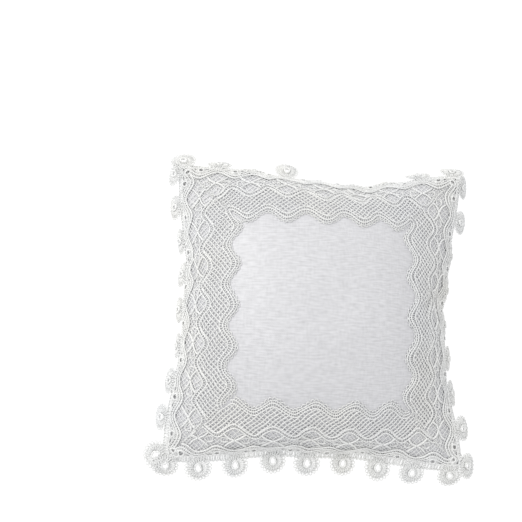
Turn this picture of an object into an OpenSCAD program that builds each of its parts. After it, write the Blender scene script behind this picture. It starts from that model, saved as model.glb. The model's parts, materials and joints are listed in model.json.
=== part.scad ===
// Square wedding cushion: a satin cover over a stuffed insert, with a mitred lace frame on its face
// and crocheted ring tabs all round the seam. It lies on its back, face up, with the seam level.

/* [Cushion] */
// Width of the stuffed cover from corner to corner
cover_side = 208; // [180:1:250]
// How far the middle of each side pulls in from the line between its corners
side_pull = 12; // [4:0.5:14]
// Rise of the face above the seam
crown_rise = 40; // [32:1:50]
// Drop of the back below the seam to the face that it rests on
base_drop = 33; // [24:1:36]

/* [Cloth] */
// Thickness of the satin with its interlining
satin_thick = 0.6; // [0.4:0.1:1]
// Thickness of the insert's cotton casing
casing_thick = 0.4; // [0.3:0.1:0.8]
// Room between one layer of cloth and the next
layer_gap = 0.1; // [0.05:0.05:0.2]

/* [Lace] */
// Thickness of the corded lace
lace_thick = 1.2; // [0.8:0.1:1.6]
// Lace lifts off the satin by this much
lace_lift = 0.35; // [0.3:0.05:0.6]
// Pattern repeats along half of one side, seam corner to middle
half_repeats = 4.2; // [4.1:0.05:4.3]
// Share of the half side, from the middle out, where the lace's inner edge lies
lace_inner = 0.61; // [0.56:0.01:0.72]
// Share of the half side where the lace strip meets the row of gap rings
lace_outer = 0.955; // [0.94:0.005:0.96]

/* [Rings] */
// Outer radius of a ring tab
tab_r = 7.7; // [6:0.1:9]
// Radius of a tab's hole
tab_hole_r = 2.4; // [1.5:0.1:3]
// Thickness of a ring tab
tab_thick = 1.6; // [1.2:0.1:2]
// Outer radius of a gap ring
gap_ring_r = 3.4; // [2.6:0.1:3.6]
// Radius of a gap ring's hole
gap_hole_r = 1.1; // [0.6:0.1:1.2]

/* [Hidden] */
SIDES = ["near", "right", "far", "left"];

cells = 22;                          // grid cells across one panel
half = cover_side / 2;
pull = side_pull / half;             // share of the half side by which the middle pulls in
casing_inset = satin_thick + layer_gap;
filling_inset = casing_inset + casing_thick + layer_gap;

strip_rows = 6;
mitre_gap = 0.004;                   // share left free on each side of a mitre
strip_stop = 0.9;                    // past this share a strip leaves room for the corner ring

braid_w = 3.2;
braid_h = 1.9;
braid_cells = 24;
braid_end = 0.992;                   // share of the half side where one side's braid stops

tab_numbers = [-4:4];
neck_len = 0.9;
neck_w = 2.6;
neck_gap = 0.2;                      // clearance between a tab's neck and the braid
hole_shift = 1.1;                    // a tab's hole sits this much nearer its root
corner_splay = 14;                   // how far a corner tab leans towards its corner, degrees

gap_numbers = [-3.5:3.5];
gap_share = 0.985;                   // share of the half side where the gap rings lie
gap_thick = 1.2;
gap_lift = 0.15;
corner_ring_share = 0.947;

stitch_r = 0.3;
stitch_gap = 0.1;                    // clearance between a stitch and the cloth under it
mitre_count = 16;
mitre_stitch_len = 2.2;
tack_count = 12;
tack_len = 1.8;
tack_share = 0.012;                  // the tacking lies this share inside the lace's inner edge
tack_span = 0.92;                    // share of the inner edge that the tacking runs along
closing_count = 14;
closing_pitch = 5;

// How far each tab droops below level, along each side from its left end seen from outside it.
droop_near = [24, 12, 4, 8, 0, 6, 2, 14, 20];
droop_right = [26, 28, 50, 56, 66, 68, 66, 34, 46];
droop_far = [40, 52, 74, 78, 74, 30, 76, 56, 36];
droop_left = [50, 52, 62, 66, 64, 66, 60, 42, 12];
droops = [droop_near, droop_right, droop_far, droop_left];

// A point of the cushion's skin. su and sv are the shares of the half side across and along,
// up is 1 for the face and -1 for the back, and out is how far the point lies off the skin.
function skin(su, sv, up, out) =
    let (cu = 1 - su * su,
         cv = 1 - sv * sv,
         rise = (crown_rise + out) * sqrt(max(0, cu * cv)),
         level = up > 0 ? rise : -min(rise, base_drop + out))
    [(half + out) * su * (1 - pull * cv),
     (half + out) * sv * (1 - pull * cu),
     base_drop + level];

// Grid lines bunch towards the seam, where the skin turns down.
function share(i, n) = sin(-90 + 180 * i / n);

// Each cell is split along the diagonal that points at the grid's middle, so that no triangle
// at a corner has all its points on the seam.
function quad_faces(i, j, cols, rows, flip) =
    let (a = i * (rows + 1) + j,
         b = a + rows + 1,
         c = b + 1,
         d = a + 1,
         halves = (2 * i < cols) == (2 * j < rows) ? [[c, b, a], [d, c, a]] : [[d, b, a], [d, c, b]])
    flip ? [for (f = halves) [f[2], f[1], f[0]]] : halves;

function grid_faces(cols, rows, first, flip) = [
    for (i = [0:cols - 1])
    for (j = [0:rows - 1])
    for (face = quad_faces(i, j, cols, rows, flip))
    [for (v = face) v + first]];

// Points of a grid of cols by rows round its border, in order.
function border(cols, rows) = concat(
    [for (i = [0:cols - 1]) i * (rows + 1)],
    [for (j = [0:rows - 1]) cols * (rows + 1) + j],
    [for (i = [cols:-1:1]) i * (rows + 1) + rows],
    [for (j = [rows:-1:1]) j]);

function wall_faces(cols, rows) =
    let (ring = border(cols, rows),
         n = len(ring),
         other = (cols + 1) * (rows + 1))
    [for (k = [0:n - 1])
     let (a = ring[k], b = ring[(k + 1) % n])
     for (face = [[a, b, b + other], [a, b + other, a + other]]) face];

// A closed slab between two grids of points, the outer one first.
module slab(outer, inner, cols, rows, up) {
    faces = concat(
        grid_faces(cols, rows, 0, false),
        grid_faces(cols, rows, (cols + 1) * (rows + 1), true),
        wall_faces(cols, rows));
    polyhedron(
        points = concat(outer, inner),
        faces = up > 0 ? faces : [for (f = faces) [f[2], f[1], f[0]]],
        convexity = 6);
}

function panel_points(up, out) = [
    for (i = [0:cells])
    for (j = [0:cells])
    skin(share(i, cells), share(j, cells), up, out)];

// Half of a closed cloth case, from the seam over the face or under the back.
module panel(up, inset, thick) {
    slab(panel_points(up, -inset), panel_points(up, -inset - thick), cells, cells, up);
}

// The filling's two skins share the points of their rim.
function on_rim(v) =
    let (i = floor(v / (cells + 1)),
         j = v % (cells + 1))
    i == 0 || j == 0 || i == cells || j == cells;

module filling() {
    count = (cells + 1) * (cells + 1);
    polyhedron(
        points = concat(panel_points(1, -filling_inset), panel_points(-1, -filling_inset)),
        faces = concat(
            grid_faces(cells, cells, 0, false),
            [for (face = grid_faces(cells, cells, 0, true))
             [for (v = face) on_rim(v) ? v : v + count]]),
        convexity = 6);
}

// One side's lace lies between two mitres; sides are turned copies of the front one.
module turned(side) {
    rotate([0, 0, 90 * side]) children();
}

function strip_points(out) = [
    for (i = [0:cells])
    for (j = [0:strip_rows])
    let (sv = lace_outer + (lace_inner - lace_outer) * j / strip_rows,
         end = min(sv * (1 - mitre_gap), strip_stop),
         su = end * (-1 + 2 * i / cells))
    skin(su, -sv, 1, out)];

module lace_strip() {
    slab(strip_points(lace_lift + lace_thick), strip_points(lace_lift), cells, strip_rows, 1);
}

// A rope of the seam's own line, square in section.
function braid_points() = [
    for (i = [0:braid_cells])
    let (su = braid_end * share(i, braid_cells) / share(braid_cells, braid_cells))
    for (corner = [[0.1, -1], [braid_w, -1], [braid_w, 1], [0.1, 1]])
    skin(su, -1, 1, corner[0]) + [0, 0, corner[1] * braid_h / 2]];

module edge_braid() {
    last = 4 * braid_cells;
    polyhedron(
        points = braid_points(),
        faces = concat(
            [[0, 1, 2], [0, 2, 3]],
            [[last + 2, last + 1, last], [last + 3, last + 2, last]],
            [for (i = [0:braid_cells - 1])
             for (k = [0:3])
             let (a = 4 * i + k,
                  b = 4 * i + (k + 1) % 4)
             for (face = [[a + 4, b, a], [b + 4, b, a + 4]]) face]));
}

// Turns a child whose own +Y points outwards so that it droops from a point of the near seam.
module at_seam(su, droop) {
    step = 0.001;
    here = skin(su, -1, 1, 0);
    next = skin(su + step, -1, 1, 0) - here;
    translate(here)
    rotate([0, 0, atan2(next[1], next[0]) + 180])
    rotate([-droop, 0, 0])
    children();
}

// Lays a child flat over a point of the face, with its own +X downhill.
module on_face(su, sv, out) {
    step = 0.002;
    here = skin(su, sv, 1, out);
    across = skin(su + step, sv, 1, out) - skin(su - step, sv, 1, out);
    along = skin(su, sv + step, 1, out) - skin(su, sv - step, 1, out);
    normal = cross(across, along);
    translate(here)
    rotate([0, acos(normal[2] / norm(normal)), atan2(normal[1], normal[0])])
    children();
}

// A ring's section: flat faces with a half round at the rim and at the hole.
module ring_section(outer_r, hole_r, thick) {
    edge = thick / 2;
    translate([hole_r + edge, -edge]) square([outer_r - hole_r - thick, thick]);
    translate([hole_r + edge, 0]) circle(edge, $fn = 16);
    translate([outer_r - edge, 0]) circle(edge, $fn = 16);
}

module tab_ring() {
    middle = neck_len + tab_r;
    difference() {
        union() {
            translate([0, middle, 0])
                cylinder(r = tab_r, h = tab_thick, center = true, $fn = 48);
            translate([-neck_w / 2, 0, -tab_thick / 2]) cube([neck_w, middle, tab_thick]);
        }
        translate([0, middle - hole_shift, 0])
            cylinder(r = tab_hole_r, h = 2 * tab_thick, center = true, $fn = 32);
    }
}

module tab_rings(side) {
    for (k = tab_numbers) {
        splay = abs(k) == 4 ? sign(k) * corner_splay : 0;
        root = braid_w + neck_gap + neck_w / 2 * abs(sin(splay));
        at_seam(k / half_repeats, droops[side][k + 4])
            translate([0, root, 0])
            rotate([0, 0, splay])
            tab_ring();
    }
}

module gap_ring() {
    rotate_extrude($fn = 40) ring_section(gap_ring_r, gap_hole_r, gap_thick);
}

module gap_rings() {
    out = gap_thick / 2 + gap_lift;
    for (k = gap_numbers) on_face(k / half_repeats, -gap_share, out) gap_ring();
    on_face(corner_ring_share, -corner_ring_share, out) gap_ring();
}

// A short bar of thread that lies level, across the slope of the face.
module stitch(length) {
    rotate([90, 0, 0]) cylinder(r = stitch_r, h = length, center = true, $fn = 16);
}

// Oversewing that closes one mitre, from the corner ring to the lace's inner edge.
module mitre_row() {
    out = lace_lift + lace_thick + stitch_r + stitch_gap;
    for (i = [0:mitre_count - 1]) {
        share = strip_stop + (lace_inner - strip_stop) * (i + 0.5) / mitre_count;
        on_face(share, -share, out) stitch(mitre_stitch_len);
    }
}

// Tacking that holds the lace's inner edge to the satin.
module tacking_row() {
    reach = lace_inner * tack_span;
    for (i = [0:tack_count - 1])
        on_face(reach * (-1 + 2 * i / (tack_count - 1)), tack_share - lace_inner,
                stitch_r + stitch_gap)
            stitch(tack_len);
}

// Slip stitches under the braid, where the cover was closed after the insert went in.
module closing_row() {
    for (i = [0:closing_count - 1]) {
        su = (i - (closing_count - 1) / 2) * closing_pitch / half;
        translate(skin(su, -1, 1, stitch_r + stitch_gap)
                  - [0, 0, braid_h / 2 + stitch_r + stitch_gap])
            rotate([0, 90, 0])
            cylinder(r = stitch_r, h = closing_pitch * 0.6, center = true, $fn = 16);
    }
}

module thread() {
    color([0.93, 0.93, 0.91]) children();
}

module satin() {
    color([0.87, 0.87, 0.89]) children();
}

color([0.97, 0.97, 0.97]) filling();  // fibre_filling
color([0.94, 0.94, 0.93]) panel(1, casing_inset, casing_thick);  // insert_casing_front
color([0.94, 0.94, 0.93]) panel(-1, casing_inset, casing_thick);  // insert_casing_back
satin() panel(1, 0, satin_thick);  // satin_front_panel
satin() panel(-1, 0, satin_thick);  // satin_back_panel
thread() turned(2) closing_row();  // closing_stitches
thread() for (side = [0:3]) turned(side) mitre_row();  // mitre_stitching
thread() for (side = [0:3]) turned(side) tacking_row();  // lace_tacking_stitches
for (side = [0:3]) {
    thread() turned(side) lace_strip();
    thread() turned(side) gap_rings();
    thread() turned(side) edge_braid();
    thread() turned(side) tab_rings(side);
}
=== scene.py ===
"""A square satin ring pillow with a mitred lace frame and crocheted ring tabs, made round its
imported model. Lengths are in metres. The pillow lies on its back with its laced face up."""
import json

import bpy
import numpy as np
from mathutils import Matrix, Vector

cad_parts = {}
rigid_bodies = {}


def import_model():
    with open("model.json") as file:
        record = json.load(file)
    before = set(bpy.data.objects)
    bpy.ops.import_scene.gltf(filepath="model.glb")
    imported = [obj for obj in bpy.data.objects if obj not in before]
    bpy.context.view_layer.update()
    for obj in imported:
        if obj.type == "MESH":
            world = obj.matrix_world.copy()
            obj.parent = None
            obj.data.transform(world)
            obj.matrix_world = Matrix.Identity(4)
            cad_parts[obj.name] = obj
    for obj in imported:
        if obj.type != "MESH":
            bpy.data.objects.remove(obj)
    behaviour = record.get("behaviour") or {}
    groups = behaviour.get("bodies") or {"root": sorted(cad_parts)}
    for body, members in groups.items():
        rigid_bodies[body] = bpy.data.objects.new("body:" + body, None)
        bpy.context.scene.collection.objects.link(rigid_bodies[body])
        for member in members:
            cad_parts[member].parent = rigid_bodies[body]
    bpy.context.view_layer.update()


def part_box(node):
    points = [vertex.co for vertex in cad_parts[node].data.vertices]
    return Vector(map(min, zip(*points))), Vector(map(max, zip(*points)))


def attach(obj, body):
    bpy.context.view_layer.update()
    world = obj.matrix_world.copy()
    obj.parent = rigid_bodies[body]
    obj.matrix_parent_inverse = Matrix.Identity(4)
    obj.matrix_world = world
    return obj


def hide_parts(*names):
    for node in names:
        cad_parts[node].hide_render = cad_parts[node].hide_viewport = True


for leftover in list(bpy.data.objects):      # the default scene's cube, lamp and camera
    bpy.data.objects.remove(leftover)
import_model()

# ---------------------------------------------------------------------------------------------
# The stuffed cover's shape: two square sheets are sewn round their edge and blown up, and the
# creases that this leaves are laid over the pillow's own form, a flat-arched crown with low soft
# corners and sides that pull in between them. The back settles on the table.
# ---------------------------------------------------------------------------------------------
mm = 0.001
cover_half = 114 * mm        # the cover is cut 228 mm square inside its seam
cloth_cells = 80
fill_steps = 50              # frames for which the pressure blows the cover up
settle = 3 * mm              # how softly the back turns into the patch that it rests on
crease_limit = 2.2 * mm


def paired_ids(n):
    """The point numbers of two n by n grids that share their border."""
    front_id = np.arange(n * n).reshape(n, n)
    back_id = front_id.copy()
    back_id[1:-1, 1:-1] = n * n + np.arange((n - 2) ** 2).reshape(n - 2, n - 2)
    return front_id, back_id


def sewn_sheets():
    """Two square grids with a common border, a little apart in the middle so that they part."""
    n = cloth_cells + 1
    a, b = np.meshgrid(np.linspace(-1, 1, n), np.linspace(-1, 1, n), indexing="ij")
    bulge = 4 * mm * (1 - a**2) * (1 - b**2)
    front = np.stack([a * cover_half, b * cover_half, bulge], -1)
    back = np.stack([a * cover_half, b * cover_half, -bulge], -1)
    points = np.concatenate([front.reshape(-1, 3), back[1:-1, 1:-1].reshape(-1, 3)])
    return points, *paired_ids(n)


def grid_quads(ids, flip=False):
    """The four corners of each cell of a grid of point numbers, counter-clockwise from above."""
    quads = np.stack([ids[:-1, :-1], ids[1:, :-1], ids[1:, 1:], ids[:-1, 1:]], -1).reshape(-1, 4)
    return quads[:, ::-1] if flip else quads


def mesh_of(name, points, faces, uv=None):
    """A smooth mesh from an array of points and arrays of faces, one array for each number of
    corners, with a UV pair for each corner if given."""
    mesh = bpy.data.meshes.new(name)
    corners = np.concatenate([f.ravel() for f in faces]).astype(np.int32)
    sizes = np.concatenate([np.full(len(f), f.shape[1]) for f in faces])
    mesh.vertices.add(len(points))
    mesh.vertices.foreach_set("co", np.ascontiguousarray(points, np.float32).ravel())
    mesh.loops.add(len(corners))
    mesh.loops.foreach_set("vertex_index", corners)
    mesh.polygons.add(len(sizes))
    mesh.polygons.foreach_set("loop_start", np.r_[0, np.cumsum(sizes)[:-1]].astype(np.int32))
    mesh.polygons.foreach_set("use_smooth", np.ones(len(sizes), bool))
    if uv is not None:
        layer = mesh.uv_layers.new(name="cloth")
        layer.data.foreach_set("uv", np.ascontiguousarray(uv, np.float32).ravel())
    mesh.update(calc_edges=True)
    return mesh


def object_of(mesh):
    """An object at the origin that shows a mesh and has its name."""
    piece = bpy.data.objects.new(mesh.name, mesh)
    bpy.context.scene.collection.objects.link(piece)
    return piece


def inflate():
    """The two sheets' points after cloth simulation under pressure, stopped part-way, as two
    square grids: the face's and the back's."""
    points, front_id, back_id = sewn_sheets()
    blank = object_of(mesh_of("cover_blank", points,
                              [grid_quads(front_id), grid_quads(back_id, True)]))
    cloth = blank.modifiers.new("cloth", "CLOTH")
    s = cloth.settings
    s.quality = 5
    s.mass = 0.19
    s.tension_stiffness = s.compression_stiffness = 80
    s.shear_stiffness = 5
    s.bending_stiffness = 0.5
    s.tension_damping = s.compression_damping = s.shear_damping = 25
    s.bending_damping = 5
    s.air_damping = 10
    s.use_pressure = True
    s.uniform_pressure_force = 15
    s.effector_weights.gravity = 0
    cloth.collision_settings.use_collision = False
    scene = bpy.context.scene
    scene.frame_start = cloth.point_cache.frame_start = 1
    scene.frame_end = cloth.point_cache.frame_end = fill_steps
    for step in range(1, fill_steps + 1):
        scene.frame_set(step)
    blown = blank.evaluated_get(bpy.context.evaluated_depsgraph_get()).data
    co = np.empty(len(blown.vertices) * 3, np.float32)
    blown.vertices.foreach_get("co", co)
    co = co.reshape(-1, 3).astype(float)
    scene.frame_set(1)
    bpy.data.objects.remove(blank)
    return co[front_id], co[back_id]


def unit(vectors):
    """Vectors of length one."""
    return vectors / np.maximum(np.linalg.norm(vectors, axis=-1, keepdims=True), 1e-12)


def blurred(grid, reach=9):
    """A grid of points after a Gaussian blur that many cells wide along each of its axes."""
    offsets = np.arange(-2 * reach, 2 * reach + 1)
    weight = np.exp(-0.5 * (offsets / reach) ** 2)
    for axis in (0, 1):
        rows = np.moveaxis(grid, axis, 0)
        taps = np.clip(np.arange(len(rows))[:, None] + offsets, 0, len(rows) - 1)
        rows = np.einsum("k,nkmc->nmc", weight / weight.sum(), rows[taps])
        grid = np.moveaxis(rows, 0, axis)
    return grid


seam_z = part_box("satin_back_panel")[1].z
panel_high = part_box("satin_front_panel")[1]
side_pull = 12 * mm          # how far the middle of each side pulls in
arch = 1.17                  # half the angle in radians through which the crown arches over


def arched(a, b):
    """Where a point with flat shares a and b lies along a's axis. A line across the middle is an
    arc, a line along the seam is straight, and the sides pull in most at their middles."""
    reach = panel_high.x - side_pull * (1 - abs(b) ** 1.85)
    bend = np.maximum(arch * np.sqrt(1 - b**2), 1e-3)
    return reach * np.sin(bend * a) / np.sin(bend)


def crown(a):
    """The share of the crown's height at a flat share a: a circular arc's rise, 1 to 0."""
    return (np.cos(arch * a) - np.cos(arch)) / (1 - np.cos(arch))


a, b = np.meshgrid(*[np.linspace(-1, 1, cloth_cells + 1)] * 2, indexing="ij")
blunt = 1 - 0.055 * abs(a * b) ** 6      # the folded seam allowance blunts the corners
plan = np.stack([arched(a, b), arched(b, a)], -1) * blunt[..., None]
# Where the filling pushes each side out or leaves it slack, counter-clockwise from the near side:
# along the side from its middle, the width of the place, and how far out it goes, in millimetres.
pushes = {"near": (-95, 32, -1.5), "right": (-45, 35, -2.8), "far": (45, 38, 4.5),
          "left": (100, 25, -0.6)}
for turn, (where, width, amount) in enumerate(pushes.values()):
    out = np.array([np.sin(turn * np.pi / 2), -np.cos(turn * np.pi / 2)])
    along = (a * -out[1] + b * out[0]) * cover_half / mm
    share = np.maximum(a * out[0] + b * out[1], 0) ** 2
    plan += (amount * mm * share * np.exp(-((along - where) / width) ** 2))[..., None] * out
# The far right corner is drawn out further than the others.
corner = np.exp(-((a - 1) ** 2 + (b - 1) ** 2) / 0.4**2)
plan += corner[..., None] * np.array([2.2, 4.0]) * mm
# The filling has slumped to the left, so the cloth of the right side lies a little further in.
slump = np.maximum(a, 0) * (1 - 0.75 * np.maximum(a, 0) ** 6) * 1.35
plan[..., 0] -= 4.2 * mm * slump * (1 - b**6)
rise = crown(a) * crown(b)
# The back bulges down as the face does up, as far as the table, and rounds softly on to it.
depth = rise * (seam_z + settle)
depth -= settle * np.logaddexp(0, (depth - seam_z) / settle)
depth *= seam_z / depth.max()
calm = (1 - 0.75 * abs(a * b) ** 3)[..., None]      # the creases fade out in the corners
sheets = []
for blown, height in zip(inflate(), (rise * (panel_high.z - seam_z), -depth)):
    crease = (blown - blurred(blown)) * calm
    size = np.linalg.norm(crease, axis=-1, keepdims=True)
    crease *= np.tanh(size / crease_limit) / np.maximum(size / crease_limit, 1e-6)
    sheets.append(np.concatenate([plan, seam_z + height[..., None]], -1) + crease)
face_grid, back_grid = sheets
face_grid[..., 2] = np.minimum(face_grid[..., 2], panel_high.z)
back_grid[..., 2] = np.maximum(back_grid[..., 2], 0)
border = np.ones(face_grid.shape[:2], bool)
border[1:-1, 1:-1] = False
back_grid[border] = face_grid[border]


def padded_grid(grid):
    """The grid with two more rows and columns beyond each edge, in line with its last cells."""
    for _ in range(2):
        grid = np.concatenate([2 * grid[:1] - grid[1:2], grid, 2 * grid[-1:] - grid[-2:-1]], 0)
        grid = np.concatenate([2 * grid[:, :1] - grid[:, 1:2], grid,
                               2 * grid[:, -1:] - grid[:, -2:-1]], 1)
    return grid


def on_grid(grid, u, v):
    """Places and unit normals on a grid of cloth at flat coordinates u and v, by a cubic
    B-spline blend of the 16 nearest points."""
    wide = padded_grid(grid)
    n = cloth_cells

    def weights(c):
        """The first cell, the four blend weights and their slopes along one axis."""
        at = np.clip((c / cover_half + 1) / 2, 0, 1) * n
        cell = np.clip(np.floor(at).astype(int), 0, n - 1)
        t = at - cell
        w = np.stack([(1 - t) ** 3, 3 * t**3 - 6 * t**2 + 4,
                      -3 * t**3 + 3 * t**2 + 3 * t + 1, t**3], -1) / 6
        d = np.stack([-(1 - t) ** 2, 3 * t**2 - 4 * t, -3 * t**2 + 2 * t + 1, t**2], -1) / 2
        return cell, w, d

    iu, wu, du = weights(u)
    iv, wv, dv = weights(v)
    taps = np.arange(1, 5)
    around = wide[(iu[..., None] + taps)[..., :, None], (iv[..., None] + taps)[..., None, :]]
    place = np.einsum("...i,...j,...ijk->...k", wu, wv, around)
    along_u = np.einsum("...i,...j,...ijk->...k", du, wv, around)
    along_v = np.einsum("...i,...j,...ijk->...k", wu, dv, around)
    return place, unit(np.cross(along_u, along_v))


# ---------------------------------------------------------------------------------------------
# The fibre filling: one loose mass of lofted polyester. It is teased out by hand and stuffed into
# the insert through a gap in its seam, and nothing but the casing holds it.
# ---------------------------------------------------------------------------------------------
satin_thick = 0.6 * mm
layer_gap = 0.1 * mm
casing_thick = 0.4 * mm


def cloth_lattice(grid, n):
    """An n by n lattice of places, normals and flat coordinates on a grid of cloth, with its
    lines a little closer together towards the seam, where the cloth turns down."""
    even = np.linspace(-1, 1, n)
    c = (0.7 * even + 0.3 * np.sin(even * np.pi / 2)) * cover_half
    u, v = np.meshgrid(c, c, indexing="ij")
    return *on_grid(grid, u, v), u, v


def inset_lattice(grid, n, inset, up):
    """A lattice moved in from the skin by the inset: along the normal over most of the cloth,
    and level towards the middle at the seam, so that the rim stays on the seam's plane."""
    place, normal, u, v = cloth_lattice(grid, n)
    level = unit((place - [0, 0, seam_z]) * [1, 1, 0])
    share = np.clip((cover_half - np.maximum(abs(u), abs(v))) / (12 * mm), 0, 1)[..., None]
    return place - unit(share * normal * up + (1 - share) * level) * inset, u, v


def rim_of(ids):
    """The numbers of a square lattice's border points in order, counter-clockwise."""
    return np.concatenate([ids[:-1, 0], ids[-1, :-1], ids[:0:-1, -1], ids[0, :0:-1]])


def shades(colour, spread):
    """A darker and a lighter shade of a colour: the colour times one less and one more than the
    spread."""
    return [tuple(c * (1 + sign * spread) for c in colour) for sign in (-1, 1)]


def drifting(material, one, other, scale):
    """Principled shader whose colour drifts between two over soft patches: a noise on the object's
    coordinates, stretched so that most of it is near the one colour or the other."""
    material.use_nodes = True
    nodes, links = material.node_tree.nodes, material.node_tree.links
    shader = nodes["Principled BSDF"]
    where = nodes.new("ShaderNodeTexCoord")
    noise = nodes.new("ShaderNodeTexNoise")
    noise.inputs["Scale"].default_value = scale
    noise.inputs["Detail"].default_value = 3
    ramp = nodes.new("ShaderNodeValToRGB")
    for stop, colour, position in zip(ramp.color_ramp.elements, (one, other), (0.3, 0.7)):
        stop.color = (*colour, 1)
        stop.position = position
    links.new(where.outputs["Object"], noise.inputs["Vector"])
    links.new(noise.outputs["Fac"], ramp.inputs["Fac"])
    links.new(ramp.outputs["Color"], shader.inputs["Base Color"])
    return nodes, links, shader, where


def raised(nodes, links, shader, height, depth, strength=1.0):
    """A relief on a shader: its normals tilt as they would on a surface that stands up by the
    height that a socket gives, times the depth."""
    bump = nodes.new("ShaderNodeBump")
    bump.inputs["Strength"].default_value = strength
    bump.inputs["Distance"].default_value = depth
    links.new(height, bump.inputs["Height"])
    links.new(bump.outputs["Normal"], shader.inputs["Normal"])


fibre = bpy.data.materials.new("lofted_polyester")
nodes, links, shader, where = drifting(fibre, *shades((0.86, 0.86, 0.86), 0.04), 60)
shader.inputs["Roughness"].default_value = 0.95
strands = nodes.new("ShaderNodeTexNoise")
strands.inputs["Scale"].default_value = 900
strands.inputs["Detail"].default_value = 6
links.new(where.outputs["Object"], strands.inputs["Vector"])
raised(nodes, links, shader, strands.outputs["Fac"], 1.5 * mm)


def stuffed(name, n, inset):
    """A closed mass between the inset face and the inset back, which share their rim."""
    top, _, _ = inset_lattice(face_grid, n, inset, 1)
    low, _, _ = inset_lattice(back_grid, n, inset, -1)
    ids, low_ids = paired_ids(n)
    points = np.concatenate([top.reshape(-1, 3), low[1:-1, 1:-1].reshape(-1, 3)])
    return mesh_of(name, points, [grid_quads(ids), grid_quads(low_ids, True)])


def finished(piece, material, node):
    """The piece wears its material, rides with the pillow and stands for its CAD node."""
    piece.data.materials.append(material)
    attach(piece, "root")
    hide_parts(node)


filling = object_of(stuffed("fibre_filling_mass", 80,
                            satin_thick + casing_thick + 3 * layer_gap))
finished(filling, fibre, "fibre_filling")

# ---------------------------------------------------------------------------------------------
# The insert's casing: two squares of plain cotton sewn round the filling. It gives the cover
# something firm to sit on, and is out of sight once the cover is closed.
# ---------------------------------------------------------------------------------------------


def cloth_shell(name, grid, n, inset, thick, up):
    """A closed sheet of cloth: a lattice inset from the skin, another that much deeper, and a
    strip of faces round the rim. Its UV map is the cloth's flat coordinates in metres."""
    outer, u, v = inset_lattice(grid, n, inset, up)
    inner, _, _ = inset_lattice(grid, n, inset + thick, up)
    ids = np.arange(n * n).reshape(n, n)
    ring = rim_of(ids)
    after = np.roll(ring, -1)
    wall = np.stack([ring, ring + n * n, after + n * n, after], -1)
    quads = np.concatenate([grid_quads(ids), grid_quads(ids + n * n, True), wall])
    if up < 0:
        quads = quads[:, ::-1]
    points = np.concatenate([outer.reshape(-1, 3), inner.reshape(-1, 3)])
    flat = np.tile(np.stack([u, v], -1).reshape(-1, 2), (2, 1))
    return mesh_of(name, points, [quads], flat[quads.ravel()])


def woven(name, colour, threads, depth, roughness):
    """A plain weave on the cloth's UV map: warp and weft ribs that take turns on top."""
    material = bpy.data.materials.new(name)
    nodes, links, shader, _ = drifting(material, *shades(colour, 0.02), 40)
    shader.inputs["Roughness"].default_value = roughness
    cloth = nodes.new("ShaderNodeUVMap")
    cloth.uv_map = "cloth"
    ribs = []
    for axis in "XY":
        rib = nodes.new("ShaderNodeTexWave")
        rib.bands_direction = axis
        rib.inputs["Scale"].default_value = threads
        rib.inputs["Distortion"].default_value = 0.4
        links.new(cloth.outputs["UV"], rib.inputs["Vector"])
        ribs.append(rib)
    over = nodes.new("ShaderNodeMath")
    over.operation = "MULTIPLY"
    for i, rib in enumerate(ribs):
        links.new(rib.outputs["Fac"], over.inputs[i])
    raised(nodes, links, shader, over.outputs["Value"], depth)
    return material


cotton = woven("plain_cotton", (0.82, 0.81, 0.78), 350, 0.15 * mm, 0.9)
for half, grid, up in (("front", face_grid, 1), ("back", back_grid, -1)):
    casing = object_of(cloth_shell(f"casing_{half}", grid, 70,
                                   satin_thick + layer_gap, casing_thick, up))
    finished(casing, cotton, f"insert_casing_{half}")

# ---------------------------------------------------------------------------------------------
# The cover: a face and a back cut from white slubbed satin and seamed together inside out. The
# slubs run across the pillow, and the weave throws a soft cool sheen.
# ---------------------------------------------------------------------------------------------
satin_colour = (0.725, 0.725, 0.75)


def tinted(nodes, links, shader, share):
    """A shader's colour times the share that a socket gives."""
    shade = nodes.new("ShaderNodeMix")
    shade.data_type = "RGBA"
    shade.blend_type = "MULTIPLY"
    shade.inputs["Factor"].default_value = 1
    links.new(shader.inputs["Base Color"].links[0].from_socket, shade.inputs["A"])
    links.new(share, shade.inputs["B"])
    links.new(shade.outputs["Result"], shader.inputs["Base Color"])


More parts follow.
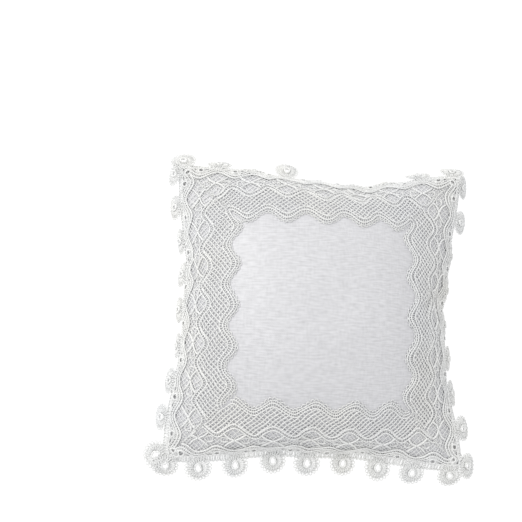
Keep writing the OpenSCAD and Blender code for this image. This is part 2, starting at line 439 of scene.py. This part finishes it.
def slub_satin():
    """Satin on the cloth's UV map: long thin slubs along the weft, fainter ones along the warp,
    a fine twill under both, and a slow drift of colour. The slubs stand up and are paler."""
    material = bpy.data.materials.new("slub_satin")
    nodes, links, shader, _ = drifting(material, *shades(satin_colour, 0.025), 9)
    shader.inputs["Roughness"].default_value = 0.36
    shader.inputs["Specular IOR Level"].default_value = 0.5
    shader.inputs["Sheen Weight"].default_value = 0.25
    shader.inputs["Sheen Roughness"].default_value = 0.4
    cloth = nodes.new("ShaderNodeUVMap")
    cloth.uv_map = "cloth"
    heights = []
    for scale, share in (((150, 950, 1), 1.0), ((800, 190, 1), 0.5)):      # weft, then warp
        stretch = nodes.new("ShaderNodeMapping")
        stretch.inputs["Scale"].default_value = scale
        slub = nodes.new("ShaderNodeTexNoise")
        slub.inputs["Scale"].default_value = 1
        slub.inputs["Detail"].default_value = 3
        part = nodes.new("ShaderNodeMath")
        part.operation = "MULTIPLY"
        part.inputs[1].default_value = share
        links.new(cloth.outputs["UV"], stretch.inputs["Vector"])
        links.new(stretch.outputs["Vector"], slub.inputs["Vector"])
        links.new(slub.outputs["Fac"], part.inputs[0])
        heights.append(part)
    twill = nodes.new("ShaderNodeTexWave")
    twill.bands_direction = "DIAGONAL"
    twill.inputs["Scale"].default_value = 420
    links.new(cloth.outputs["UV"], twill.inputs["Vector"])
    small = nodes.new("ShaderNodeMath")
    small.operation = "MULTIPLY"
    small.inputs[1].default_value = 0.08
    links.new(twill.outputs["Fac"], small.inputs[0])
    heights.append(small)
    total = heights[0]
    for part in heights[1:]:
        add = nodes.new("ShaderNodeMath")
        links.new(total.outputs["Value"], add.inputs[0])
        links.new(part.outputs["Value"], add.inputs[1])
        total = add
    raised(nodes, links, shader, total.outputs["Value"], 0.25 * mm, 0.85)
    tint = nodes.new("ShaderNodeMapRange")
    tint.inputs["From Min"].default_value = 0.52
    tint.inputs["From Max"].default_value = 0.98
    tint.inputs["To Min"].default_value = 0.86
    tint.inputs["To Max"].default_value = 1.11
    links.new(total.outputs["Value"], tint.inputs["Value"])
    tinted(nodes, links, shader, tint.outputs["Result"])
    return material


satin = slub_satin()
for half, grid, up in (("front", face_grid, 1), ("back", back_grid, -1)):
    panel = object_of(cloth_shell(f"satin_{half}", grid, 210, 0, satin_thick, up))
    finished(panel, satin, f"satin_{half}_panel")

# ---------------------------------------------------------------------------------------------
# The lace strips: four lengths of corded cotton lace, one to a side, mitred at the corners and
# laid on the satin. Pairs of wavy cords frame a diamond net and a row of lens-shaped windows,
# each with a cross of thread in it.
# ---------------------------------------------------------------------------------------------
# Lengths in the lace are millimetres along the cloth: s runs along a side from its middle, x
# along a strip from its own middle, and t in from the seam.
SIDES = ("near", "right", "far", "left")
repeat = 27.0
half_side = cover_half / mm
lace_lean = 1.0              # how far the lace stands off the cushion where it leaves the seam
lean_reach = 6.0

# How far each ring tab droops below level, along each side from its left end seen from outside.
droops = {
    "near": (24, 12, 4, 8, 0, 6, 2, 14, 20),
    "right": (26, 28, 50, 56, 66, 68, 66, 34, 46),
    "far": (40, 52, 74, 78, 74, 30, 76, 56, 36),
    "left": (50, 52, 62, 66, 64, 66, 60, 42, 12),
}

# How far each strip was sewn off centre along its side.
slips = {"near": -5.3, "right": -1.8, "far": 0.6, "left": -1.7}


def smooth_droop(side, s):
    """The droop of the lace's edge in radians, which passes smoothly through the tabs' mean."""
    marks = np.asarray(droops[side], float)
    marks = np.convolve(np.pad(marks, 1, "edge"), (0.25, 0.5, 0.25), "valid")
    return np.radians(np.interp((s - slips[side]) / repeat, np.arange(-4, 5), marks))


def flat_place(side, s, t):
    """Flat coordinates in metres of the place s along a side and t in from its seam."""
    turn = SIDES.index(side) * np.pi / 2
    x, y = s * mm, (t - half_side) * mm
    return x * np.cos(turn) - y * np.sin(turn), x * np.sin(turn) + y * np.cos(turn)


def on_cover(side, s, t, lift):
    """Places and normals on the face, lifted off the satin. Towards the seam the lace leans out
    from the cushion, by less where its edge droops more."""
    place, normal = on_grid(face_grid, *flat_place(side, s, t))
    lean = lace_lean * np.cos(smooth_droop(side, s)) * np.exp(-np.maximum(t, 0) / lean_reach)
    return place + normal * ((lift + lean) * mm)[..., None], normal


def seam_frame(side, s):
    """Places on the lace's root line over the seam, with the seam's direction and the level
    direction that points away from the cushion."""
    before, place, after = [on_grid(face_grid, *flat_place(side, s + step, np.zeros_like(s)))[0]
                            for step in (-0.5, 0, 0.5)]
    along = unit((after - before) * [1, 1, 0])
    out = np.stack([along[..., 1], -along[..., 0], np.zeros_like(s)], -1)
    lean = lace_lean * np.cos(smooth_droop(side, s)) * mm
    return place + out * lean[..., None], along, out


def past_seam(root, along, out, a, b, droop, curl):
    """Places and normals a along and b beyond a point of the root line, on a strip that leaves
    it drooping by an angle and curls down further by so much for each millimetre."""
    bent = droop + curl * b
    level = (np.sin(bent) - np.sin(droop)) / curl
    down = (np.cos(droop) - np.cos(bent)) / curl
    up = np.array([0.0, 0.0, 1.0])
    place = root + ((a * mm)[..., None] * along + (level * mm)[..., None] * out
                    - (down * mm)[..., None] * up)
    return place, np.sin(bent)[..., None] * out + np.cos(bent)[..., None] * up


def tubes(path, normal, radius, sides, closed=False):
    """Round cords along many paths of the same number of points: each point gets a ring of the
    given number of sides, square to the path. Returns points, quads, end caps and a UV pair for
    each corner: length along and share of the way round."""
    count, steps = path.shape[:2]
    if closed:
        along = unit(np.roll(path, -1, 1) - np.roll(path, 1, 1))
    else:
        along = unit(np.gradient(path, axis=1))
    across = unit(np.cross(along, normal))
    top = np.cross(across, along)
    turn = 2 * np.pi * (np.arange(sides) + 0.5) / sides
    radius = np.broadcast_to(np.asarray(radius, float), (count, steps))[..., None, None]
    ring = (np.cos(turn)[:, None] * across[:, :, None]
            + np.sin(turn)[:, None] * top[:, :, None])
    points = path[:, :, None] + ring * radius * mm
    ids = np.arange(count * steps * sides).reshape(count, steps, sides)
    ahead = np.roll(ids, -1, 1) if closed else ids[:, 1:]
    here = ids if closed else ids[:, :-1]
    quads = np.stack([here, ahead, np.roll(ahead, -1, 2), np.roll(here, -1, 2)], -1)
    length = np.linalg.norm(np.diff(path, axis=1, append=path[:, :1]), axis=-1)
    start = np.concatenate([np.zeros((count, 1)), np.cumsum(length, 1)], 1)
    rows = here.shape[1]
    low = np.broadcast_to(start[:, :rows, None], here.shape)
    high = np.broadcast_to(start[:, 1:rows + 1, None], here.shape)
    round_share = np.broadcast_to(np.arange(sides) / sides, here.shape)
    next_share = round_share + 1 / sides
    uv = np.stack([np.stack([low, round_share], -1), np.stack([high, round_share], -1),
                   np.stack([high, next_share], -1), np.stack([low, next_share], -1)], -2)
    caps = np.zeros((0, sides), int)
    if not closed:
        caps = np.concatenate([ids[:, 0], ids[:, -1, ::-1]])
    return points.reshape(-1, 3), quads.reshape(-1, 4), caps, uv.reshape(-1, 2)


def thread_mesh(name, parts):
    """One mesh from many lots of tubes."""
    points, quads, caps, uvs, first = [], [], {}, [], 0
    for p, q, c, uv in parts:
        points.append(p)
        quads.append(q + first)
        caps.setdefault(c.shape[1], []).append(c + first)
        uvs.append(uv)
        first += len(p)
    faces = [np.concatenate(quads)] + [np.concatenate(c) for c in caps.values()]
    cap_corners = sum(f.size for f in faces[1:])
    return mesh_of(name, np.concatenate(points), faces,
                   np.concatenate(uvs + [np.zeros((cap_corners, 2))]))


# Each wavy cord: its middle line's distance from the seam, its swing and its radius.
scallop_rim = (50.9, 3.9, 0.33)
scallop_outer = (48.6, 3.9, 0.47)
scallop_inner = (45.6, 3.7, 0.42)
net_edge = (29.6, 4.3, 0.5)
lens_top = (26.3, 4.3, 0.5)
lens_bottom = (10.6, -3.1, 0.6)
foot_cord = (7.5, -3.1, 0.5)
foot_edge = (4.4, -3.1, 0.42)
lens_middle = 19.4
net_middle = 37.5
net_pitch = repeat / 7
ground_pitch = 3.86
rung_spacing = 1.45
mitre_gap = 0.4              # between the mitre and the ends of the threads that meet it
lens_places = np.arange(-3, 4)[:, None] * repeat      # along a strip


def wave(line, x):
    """Distance in from the seam of a wavy cord at a place x along its own strip: its middle
    line plus its swing times a cosine, furthest in at the middle of each lens."""
    return line[0] + line[1] * np.cos(2 * np.pi * x / repeat)


def slope(line, x):
    """How much further in a wavy cord gets for each millimetre along."""
    return -line[1] * 2 * np.pi / repeat * np.sin(2 * np.pi * x / repeat)


def span(line, slip, step, short=0.0):
    """Places along a strip at equal steps, over as much of a wavy cord as lies between the
    mitres once the strip has slipped along its side."""
    x = np.arange(-half_side, half_side, step)
    return x[abs(x + slip) + short < half_side - wave(line, x)]


def wave_path(line, slip):
    """One wavy cord from mitre to mitre."""
    x = span(line, slip, 0.8)
    return np.stack([x, wave(line, x)], -1)[None]


def rungs(lower, upper, slip, spacing):
    """Short threads that lace a pair of wavy cords together, square to their run."""
    x = span(upper, slip, spacing, 0.8)
    tilt = slope(upper, x)
    lean = -tilt * (upper[0] - lower[0]) / (1 + tilt**2)
    share = np.linspace(0, 1, 3)
    low, high = wave(lower, x - lean / 2), wave(upper, x + lean / 2)
    return np.stack([x[:, None] + lean[:, None] * (share - 0.5),
                     low[:, None] + (high - low)[:, None] * share], -1)


def scallops(line, slip, width, depth, points=7):
    """A chain of small loops along a wavy cord, each standing inwards from it."""
    x = span(line, slip, width, 2.5)[:, None] + width * np.linspace(0, 1, points)
    tilt = slope(line, x)
    reach = depth * np.sin(np.pi * np.linspace(0, 1, points)) ** 0.7 / np.sqrt(1 + tilt**2)
    return np.stack([x - tilt * reach, wave(line, x) + reach], -1)


def net_threads(slip, pitch, lean, points=26):
    """The diamond net's threads one way, at 45 degrees between the scallop and the net edge."""
    found = []
    t = np.linspace(20, 52, 321)
    for start in np.arange(-36, 37) * pitch:
        x = start + lean * (t - net_middle)
        inside = ((t > wave(net_edge, x)) & (t < wave(scallop_inner, x))
                  & (abs(x + slip) < half_side - t - 0.3))
        if inside.sum() > 15:
            run = np.linspace(*t[inside][[0, -1]], points)
            found.append(np.stack([start + lean * (run - net_middle), run], -1))
    return np.array(found)


def ground_net(pitch, points=14):
    """The open ground behind the lenses and the foot: thin threads both ways from the braid up
    to the cord over the lenses."""
    start = np.arange(-104, 105, pitch)[:, None]
    share = np.linspace(0, 1, points)
    found = []
    for lean in (1, -1):
        x = start + lean * 23 * (share - 0.5)
        low, high = 0.8, wave(lens_top, x)
        found.append(np.stack([x, low + (high - low) * share], -1))
    return np.concatenate(found)


def net_knots(slip, pitch):
    """Places where the net's threads cross."""
    i, j = np.meshgrid(np.arange(-60, 61), np.arange(-12, 13), indexing="ij")
    keep = (i + j) % 2 == 0
    x, t = i[keep] * pitch / 2, net_middle + j[keep] * pitch / 2
    inside = ((t > wave(net_edge, x) + 0.5) & (t < wave(scallop_inner, x) - 0.5)
              & (abs(x + slip) < half_side - t - 0.8))
    return np.stack([x[inside], t[inside]], -1)


def lens_crosses():
    """Four heavy arms in each lens, curving a little out from its middle."""
    share = np.linspace(0, 1, 8)
    arms = []
    for along in (-1, 1):
        for inward in (-1, 1):
            x = along * (7.6 * share + 0.5 * np.sin(np.pi * share))
            t = lens_middle + inward * (6.0 * share - 0.6 * np.sin(np.pi * share))
            arms.append(np.stack(np.broadcast_arrays(lens_places + x, t), -1))
    return np.concatenate(arms)


def lens_tips():
    """Two threads that curve round each end of a lens, and a bar between them."""
    share = np.linspace(0, 1, 6)
    found = []
    for along in (-1, 1):
        for inward in (-1, 1):
            x = along * (5.0 + 6.0 * share)
            t = lens_middle + inward * (0.4 + 2.2 * np.sin(np.pi * share * 0.9))
            found.append(np.stack(np.broadcast_arrays(lens_places + x, t), -1))
        t = lens_middle + 5 * (share - 0.5)
        found.append(np.stack(np.broadcast_arrays(lens_places + along * 10.2, t), -1))
    return np.concatenate(found)


def lace_pattern(slip):
    """Every thread of one strip, as lots of (paths, radius, lift off the satin, sides)."""
    lots = []
    for line in (scallop_rim, scallop_outer, scallop_inner, net_edge, lens_top, lens_bottom,
                 foot_cord, foot_edge):
        lots.append((wave_path(line, slip), line[2], line[2] + 0.75, 6))
    lots.append((scallops(scallop_rim, slip, 2.7, 1.7), 0.3, 0.6, 5))
    for lower, upper in ((scallop_outer, scallop_rim), (scallop_inner, scallop_outer),
                         (lens_top, net_edge), (foot_cord, lens_bottom), (foot_edge, foot_cord)):
        lots.append((rungs(lower, upper, slip, rung_spacing), 0.38, 0.85, 4))
    lots.append((net_threads(slip, net_pitch, 1), 0.47, 1.05, 5))
    lots.append((net_threads(slip, net_pitch, -1), 0.44, 0.8, 5))
    lots.append((ground_net(ground_pitch), 0.3, 0.5, 5))
    lots.append((lens_crosses(), 0.62, 1.25, 6))
    lots.append((lens_tips(), 0.4, 0.9, 5))
    return lots


def on_strip(side, paths):
    """Places along the side and in from the seam for threads given along their own strip: they
    slip with the strip, wander by up to half a millimetre as sewn lace does, and are turned in
    along the mitre where they would pass it."""
    x, t = paths[..., 0], paths[..., 1]
    wobble = SIDES.index(side) * 1.7      # so that no two strips wander alike
    t = t + 0.35 * np.sin(0.23 * x + 0.9 * wobble) * np.sin(0.35 * t + wobble)
    s = x + slips[side] + 0.45 * np.sin(0.19 * x + 0.41 * t + wobble)
    end = half_side - t - mitre_gap
    return np.clip(s, -end, end), t


def knots(side, places, radius, lift):
    """Small octahedral knots of thread on the lace."""
    s, t = on_strip(side, places)
    keep = abs(places[:, 0] + slips[side]) < half_side - t
    s, t = s[keep], t[keep]
    centre, normal = on_cover(side, s, t, np.full(len(s), lift))
    along = unit(np.cross(normal, [0.3, 0.5, 0.1]))
    across = np.cross(normal, along)
    star = np.array([[1, 0, 0], [0, 1, 0], [-1, 0, 0], [0, -1, 0], [0, 0, 0.8], [0, 0, -0.8]])
    basis = np.stack([along, across, normal], 1)
    points = centre[:, None] + np.einsum("ij,kjl->kil", star, basis) * radius * mm
    tris = np.array([[0, 1, 4], [1, 2, 4], [2, 3, 4], [3, 0, 4],
                     [1, 0, 5], [2, 1, 5], [3, 2, 5], [0, 3, 5]])
    tris = (tris + 6 * np.arange(len(s))[:, None, None]).reshape(-1, 3)
    return points.reshape(-1, 3), np.zeros((0, 4), int), tris, np.zeros((0, 2))


def twisted_cotton():
    """White cotton thread: matt, cooler and warmer in patches, with the twist of its plies as a
    slanting ripple along each cord's UV map. Painted shade makes the twist's grooves a little
    darker."""
    material = bpy.data.materials.new("twisted_cotton")
    nodes, links, shader, _ = drifting(material, (0.955, 0.965, 0.975),
                                       (0.985, 0.985, 0.965), 25)
    shader.inputs["Roughness"].default_value = 0.65
    shader.inputs["Sheen Weight"].default_value = 0.3
    shader.inputs["Specular IOR Level"].default_value = 0.35
    cloth = nodes.new("ShaderNodeUVMap")
    cloth.uv_map = "cloth"
    ply = nodes.new("ShaderNodeMapping")
    ply.inputs["Scale"].default_value = (1 / (1.5 * mm), 1, 1)
    links.new(cloth.outputs["UV"], ply.inputs["Vector"])
    twist = nodes.new("ShaderNodeTexWave")
    twist.bands_direction = "DIAGONAL"
    twist.inputs["Scale"].default_value = 0.45
    twist.inputs["Distortion"].default_value = 1.0
    links.new(ply.outputs["Vector"], twist.inputs["Vector"])
    raised(nodes, links, shader, twist.outputs["Fac"], 0.2 * mm, 0.83)
    # Painted shade: the thread's colour is darkened in the twist's grooves, down to 0.88 of
    # itself.
    painted_groove_shade = nodes.new("ShaderNodeMapRange")
    painted_groove_shade.inputs["From Max"].default_value = 0.6
    painted_groove_shade.inputs["To Min"].default_value = 0.88
    links.new(twist.outputs["Fac"], painted_groove_shade.inputs["Value"])
    tinted(nodes, links, shader, painted_groove_shade.outputs["Result"])
    return material


cotton_thread = twisted_cotton()
hand = np.random.default_rng(3)      # the unevenness of work done by hand


def laid_lace(side, lots):
    """The pattern's threads laid on one side of the cover, as tubes, each a little off its place
    and a little finer or heavier than the next. Threads past the mitre are left out."""
    parts = []
    for paths, radius, lift, sides in lots:
        middle = paths.mean(1)
        paths = paths[abs(middle[:, 0] + slips[side]) < half_side - middle[:, 1]]
        count = len(paths)
        s, t = on_strip(side, paths + hand.normal(0, 0.1, (count, 1, 2)))
        place, normal = on_cover(side, s, t, lift + hand.normal(0, 0.05, (count, 1)) + 0 * s)
        parts.append(tubes(place, normal, radius * hand.uniform(0.88, 1.12, (count, 1)), sides))
    return parts


for side in SIDES:
    parts = laid_lace(side, lace_pattern(slips[side]))
    parts.append(knots(side, net_knots(slips[side], net_pitch), 0.85, 1.3))
    strip = object_of(thread_mesh(f"lace_{side}", parts))
    finished(strip, cotton_thread, f"lace_strip_{side}")

# ---------------------------------------------------------------------------------------------
# The gap rings: a small crocheted ring under each hollow of the foot cord, halfway between two
# tabs, and one in each corner. A teardrop of cord is overcast with radiating buttonhole stitches
# and edged with picots, and each ring is sewn flat to the satin.
# ---------------------------------------------------------------------------------------------


def teardrop(radius, point, steps):
    """A closed loop round the origin: a circle drawn out to a soft point towards -b."""
    turn = 2 * np.pi * np.arange(steps) / steps
    reach = radius * (1 + point * np.maximum(0, -np.sin(turn)) ** 4)
    return np.stack([reach * np.cos(turn), reach * np.sin(turn)], -1)[None]


def spokes(inner, outer, count, shift=0.0, points=3):
    """Buttonhole stitches from one loop's radius to another's, all the way round."""
    turn = 2 * np.pi * (np.arange(count) + 0.5) / count
    radii = np.linspace(inner, outer, points)
    twist = turn[:, None] + shift * np.linspace(0, 1, points)
    return np.stack([radii * np.cos(twist), radii * np.sin(twist)], -1)


def rim_loops(radius, depth, count, points=6):
    """Picots: small loops of thread that stand round a ring's rim."""
    step = 2 * np.pi / count
    share = np.linspace(0, 1, points)
    turn = step * (np.arange(count)[:, None] + share)
    reach = radius + depth * np.sin(np.pi * share)
    return np.stack([reach * np.cos(turn), reach * np.sin(turn)], -1)


gap_ring = [                 # (paths, radius, lift off the satin, sides, closed)
    (teardrop(2.2, 0.4, 20), 0.55, 1.5, 6, True),
    (spokes(2.5, 4.1, 17), 0.34, 1.0, 5, False),
    (rim_loops(3.9, 0.8, 14), 0.3, 0.8, 4, False),
]
corner_inset = 7.0           # of each corner ring from both of its seams


def ring_on_cover(side, s, t, lots, turn=0.0):
    """A ring's threads turned by an angle and laid flat on the satin round a middle."""
    parts = []
    for paths, radius, lift, sides, closed in lots:
        a = paths[..., 0] * np.cos(turn) - paths[..., 1] * np.sin(turn)
        b = paths[..., 0] * np.sin(turn) + paths[..., 1] * np.cos(turn)
        place, normal = on_cover(side, s + a, t + b, np.full(a.shape, lift))
        parts.append(tubes(place, normal, radius, sides, closed))
    return parts


for side in SIDES:
    parts = []
    for hollow in np.arange(-3.5, 4):
        seam_gap = 5.6 if abs(hollow) > 1 else 4.8      # the middle rings sit nearer the seam
        parts += ring_on_cover(side, hollow * repeat + slips[side], seam_gap, gap_ring)
    parts += ring_on_cover(side, half_side - corner_inset, corner_inset, gap_ring, -np.pi / 4)
    rings = object_of(thread_mesh(f"gap_ring_row_{side}", parts))
    finished(rings, cotton_thread, f"gap_rings_{side}")

# ---------------------------------------------------------------------------------------------
# The edge braid: the lace's own border, worked as close buttonhole stitches between a cord on
# the cushion and a cord past the seam. It hides the seam and carries the tabs.
# ---------------------------------------------------------------------------------------------
braid_inner = -1.6           # on the face, inside the seam
braid_reach = 3.0            # past the seam
braid_curl = 0.06
braid_tuck = np.radians(25)  # how much further than the tabs the braid turns down


def past_edge(side, s, b):
    """Places and normals on the braid, b past the seam. Inside the seam, where b is negative, it
    carries on up the face, and the two blend over 1.5 millimetres."""
    root, along, out = seam_frame(side, s)
    place, normal = past_seam(root, along, out, np.zeros_like(s), np.maximum(b, 0.0),
                              smooth_droop(side, s) + braid_tuck, braid_curl)
    face, face_normal = on_cover(side, s, np.maximum(-b, 0.0), np.full(s.shape, 0.3))
    inside = np.clip(-b / 1.5 + 0.3, 0, 1)[..., None]
    return face * inside + place * (1 - inside), unit(face_normal * inside + normal * (1 - inside))


def braid_lots():
    """The braid's threads: cords along it, two layers of stitches across it and loops outside,
    as lots of (paths, radius, lift, sides)."""
    end = half_side - 0.5
    s = np.linspace(-end, end, 240)
    lots = []
    for b in (braid_inner, braid_reach):
        lots.append((np.stack([s, np.full_like(s, b)], -1)[None], 0.5, 0.35, 5))
    share = np.linspace(0, 1, 6)
    reach = braid_inner + (braid_reach - braid_inner) * share
    for first, radius, lift in ((0, 0.48, 0.3), (1.2, 0.42, -0.35)):
        at = np.arange(first - end, end, 2.4)
        stitch = at[:, None] + 0.3 * np.sin(7 * at)[:, None] * share
        lots.append((np.stack(np.broadcast_arrays(stitch, reach), -1), radius, lift, 5))
    width = 2.8
    share = np.linspace(0, 1, 7)
    loop = np.arange(-end, end - width, width)[:, None] + width * share
    reach = braid_reach + 1.5 * np.sin(np.pi * share)
    lots.append((np.stack(np.broadcast_arrays(loop, reach), -1), 0.36, 0.1, 5))
    return lots


for side in SIDES:
    parts = []
    for paths, radius, lift, sides in braid_lots():
        place, normal = past_edge(side, paths[..., 0], paths[..., 1])
        parts.append(tubes(place + normal * lift * mm, normal, radius, sides))
    braid = object_of(thread_mesh(f"braid_{side}", parts))
    finished(braid, cotton_thread, f"edge_braid_{side}")

# ---------------------------------------------------------------------------------------------
# The ring tabs: crocheted rings that hang from the braid all round the pillow. Each has a heavy
# teardrop of cord round its hole, close buttonhole stitches, a round cord and a picot rim.
# ---------------------------------------------------------------------------------------------
tab_radius = 7.4
tab_middle = 6.7             # from the seam to the middle of a tab
tab_root = 1.5               # from the seam to the stitch that a tab swings on
tab_ring = [                 # (paths, radius, lift, sides, closed)
    (teardrop(2.0, 0.6, 26), 0.7, 1.1, 8, True),
    (teardrop(tab_radius - 0.6, 0, 44), 0.3, -0.1, 5, True),
    (spokes(2.5, tab_radius - 0.2, 23, 0.06), 0.46, 0.3, 5, False),
    (spokes(2.5, tab_radius - 0.6, 23, 0.2), 0.4, -0.4, 4, False),
    (rim_loops(tab_radius - 0.4, 1.9, 19), 0.36, 0.0, 5, False),
]
# How far each side's tabs have swung along from their roots.
swings = {"near": -0.4, "right": -1.5, "far": 0.0, "left": 2.6}
tab_hand = np.random.default_rng(7)  # no two tabs are worked quite alike


def hung_tab(side, k, droop):
    """One tab's threads on a strip that droops from the braid and curls a little. Tabs at the
    ends of a side lean by 24 degrees, and the near left one is bent round further."""
    lean = 42 if (side, k) == ("near", -4) else -24 * np.sign(k)
    splay = np.radians(lean if abs(k) == 4 else tab_hand.uniform(-5, 5))
    curl = tab_hand.uniform(0.006, 0.03)
    scale = tab_hand.uniform(0.96, 1.04)
    at = np.clip(k * repeat + slips[side] + tab_hand.uniform(-0.4, 0.4), -110, 110)
    root, along, out = seam_frame(side, at)
    parts = []
    for paths, radius, lift, sides, closed in tab_ring:
        a, b = paths[..., 0] * scale, paths[..., 1] * scale + tab_middle - tab_root
        turned_a = a * np.cos(splay) - b * np.sin(splay) + swings[side]
        turned_b = a * np.sin(splay) + b * np.cos(splay) + tab_root
        place, normal = past_seam(root, along, out, turned_a, turned_b, np.radians(droop), curl)
        parts.append(tubes(place + normal * (lift + 0.6) * mm, normal, radius, sides, closed))
    return parts


for side in SIDES:
    parts = []
    for k, droop in zip(range(-4, 5), droops[side]):
        parts += hung_tab(side, k, droop)
    tabs = object_of(thread_mesh(f"tab_row_{side}", parts))
    finished(tabs, cotton_thread, f"tab_rings_{side}")

# ---------------------------------------------------------------------------------------------
# The hand sewing: oversewing that closes the four mitres, tacking that holds the lace's inner
# edge to the satin, and slip stitches under the far side where the insert went in.
# ---------------------------------------------------------------------------------------------
sewing = twisted_cotton()
sewing.name = "sewing_thread"

parts = []
for side in SIDES:
    t = np.linspace(9, 46, 24)
    across = np.linspace(-1.1, 1.1, 4)
    s = (half_side - t)[:, None] + across
    inward = t[:, None] + across + 0.3
    place, normal = on_cover(side, s, inward, np.full(s.shape, 1.5))
    parts.append(tubes(place, normal, 0.22, 5))
mitres = object_of(thread_mesh("mitre_oversewing", parts))
finished(mitres, sewing, "mitre_stitching")

parts = []
for side in SIDES:
    s = np.linspace(-58, 58, 18)
    across = np.linspace(-0.9, 0.9, 4)
    at = s[:, None] + across
    inward = np.broadcast_to(wave(scallop_rim, s - slips[side])[:, None] + 1.0, at.shape)
    place, normal = on_cover(side, at, inward, np.full(at.shape, 0.75))
    parts.append(tubes(place, normal, 0.2, 5))
tacking = object_of(thread_mesh("lace_tacking", parts))
finished(tacking, sewing, "lace_tacking_stitches")

u = np.linspace(-33, 33, 14)[:, None] + np.linspace(-1.5, 1.5, 4)
v = np.full(u.shape, half_side - 1.6)
place, normal = on_grid(back_grid, u * mm, v * mm)
stitches = tubes(place - normal * 0.25 * mm, -normal, 0.25, 5)
closing = object_of(thread_mesh("turning_gap_stitches", [stitches]))
finished(closing, sewing, "closing_stitches")

# ---------------------------------------------------------------------------------------------
# The table, the light and the camera: a plain white light table, a broad soft lamp above the far
# left corner with a weaker one beside it, a white sky that is brightest overhead, and a view
# almost straight down from the near side.
# ---------------------------------------------------------------------------------------------
table_half = 3.0
table_drop = 0.3 * mm        # keeps the table's plane clear of the patch that rests on it
table_ids = np.arange(4).reshape(2, 2)
table_corners = np.array([[-1, -1, 0], [-1, 1, 0], [1, -1, 0], [1, 1, 0]]) * table_half
table = object_of(mesh_of("table", table_corners - [0, 0, table_drop], [grid_quads(table_ids)]))
table_paint = bpy.data.materials.new("table_paint")
nodes, links, shader, _ = drifting(table_paint, *shades((0.3, 0.3, 0.3), 0.004), 3)
shader.inputs["Roughness"].default_value = 0.9
shader.inputs["Specular IOR Level"].default_value = 0
shader.inputs["Emission Color"].default_value = (1, 1, 1, 1)
shader.inputs["Emission Strength"].default_value = 0.84
table.data.materials.append(table_paint)

scene = bpy.context.scene
scene.view_settings.view_transform = "Standard"
world = bpy.data.worlds.new("sky")
scene.world = world
world.use_nodes = True
nodes, links = world.node_tree.nodes, world.node_tree.links
nodes["Background"].inputs["Color"].default_value = (1, 1, 1, 1)
direction = nodes.new("ShaderNodeTexCoord")
height = nodes.new("ShaderNodeSeparateXYZ")
glow = nodes.new("ShaderNodeMapRange")
glow.inputs["To Min"].default_value = 0.5
glow.inputs["To Max"].default_value = 0.93
links.new(direction.outputs["Generated"], height.inputs["Vector"])
links.new(height.outputs["Z"], glow.inputs["Value"])
links.new(glow.outputs["Result"], nodes["Background"].inputs["Strength"])


def lamp(name, place, aim, size, power):
    """A square soft lamp, a little warmer than the sky, that faces its aim."""
    light = bpy.data.objects.new(name, bpy.data.lights.new(name, "AREA"))
    light.data.size = size
    light.data.energy = power
    light.data.color = (1.0, 0.992, 0.96)
    light.location = place
    light.rotation_mode = "QUATERNION"
    light.rotation_quaternion = (Vector(aim) - Vector(place)).to_track_quat("-Z", "Y")
    scene.collection.objects.link(light)


lamp("soft_lamp", (-0.75, 0.6, 0.8), (0, 0, 0), 0.6, 4.1)
lamp("left_lamp", (-0.48, 0.02, 0.85), (0, 0, 0.05), 0.25, 0.5)

view_from = Vector((-0.0725, -0.0334, 0.4655))
view_at = Vector((-0.0410, 0.0363, 0.0270))
view_up = Vector((-0.04706, 0.98703, 0.15351))
camera = bpy.data.objects.new("camera", bpy.data.cameras.new("camera"))
scene.collection.objects.link(camera)
camera.data.lens = 43.04
camera.data.clip_start = 0.01
back = (view_from - view_at).normalized()
right = view_up.cross(back).normalized()
camera.matrix_world = (Matrix.Translation(view_from)
                       @ Matrix((right, back.cross(right), back)).transposed().to_4x4())
scene.camera = camera
